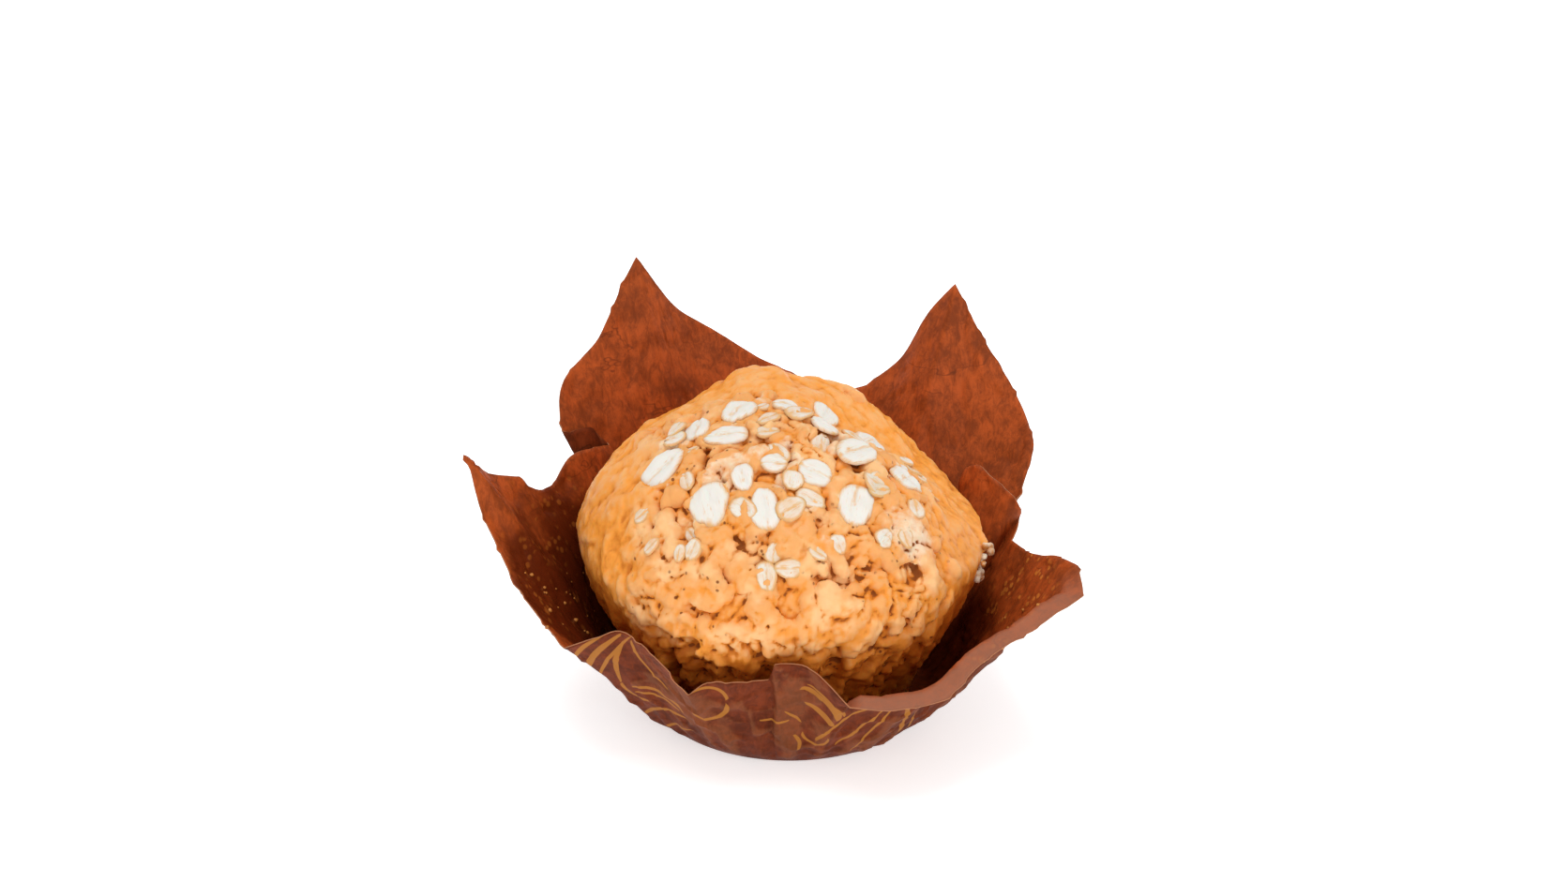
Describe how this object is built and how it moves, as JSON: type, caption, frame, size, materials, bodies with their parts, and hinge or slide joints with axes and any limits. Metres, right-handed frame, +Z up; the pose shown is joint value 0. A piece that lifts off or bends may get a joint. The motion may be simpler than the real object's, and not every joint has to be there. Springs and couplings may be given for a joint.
{
  "type": "oat muffin in a tulip case",
  "caption": "Baked oat muffin with a craggy domed crown and rolled oat flakes, standing in an opened brown paper tulip case with four petals.",
  "frame": {"origin": "middle of the case's round floor, on the surface that it stands on", "axes": "+Z up; -Y towards the front, where the case's edge is pulled down; +X to the right seen from the front"},
  "size_m": [0.1148, 0.099, 0.0702],
  "materials": {
    "parchment": "greaseproof paper, reddish brown, satin with grease stains",
    "crumb": null,
    "oat": null
  },
  "bodies": {
    "root": {"case": "parchment", "muffin": "crumb", "oat_flake_01": "oat", "oat_flake_02": "oat", "oat_flake_03": "oat", "oat_flake_04": "oat", "oat_flake_05": "oat", "oat_flake_06": "oat", "oat_flake_07": "oat", "oat_flake_08": "oat", "oat_flake_09": "oat", "oat_flake_10": "oat", "oat_flake_11": "oat", "oat_flake_12": "oat", "oat_flake_13": "oat", "oat_flake_14": "oat", "oat_flake_15": "oat", "oat_flake_16": "oat", "oat_flake_17": "oat"}
  },
  "joints": []
}
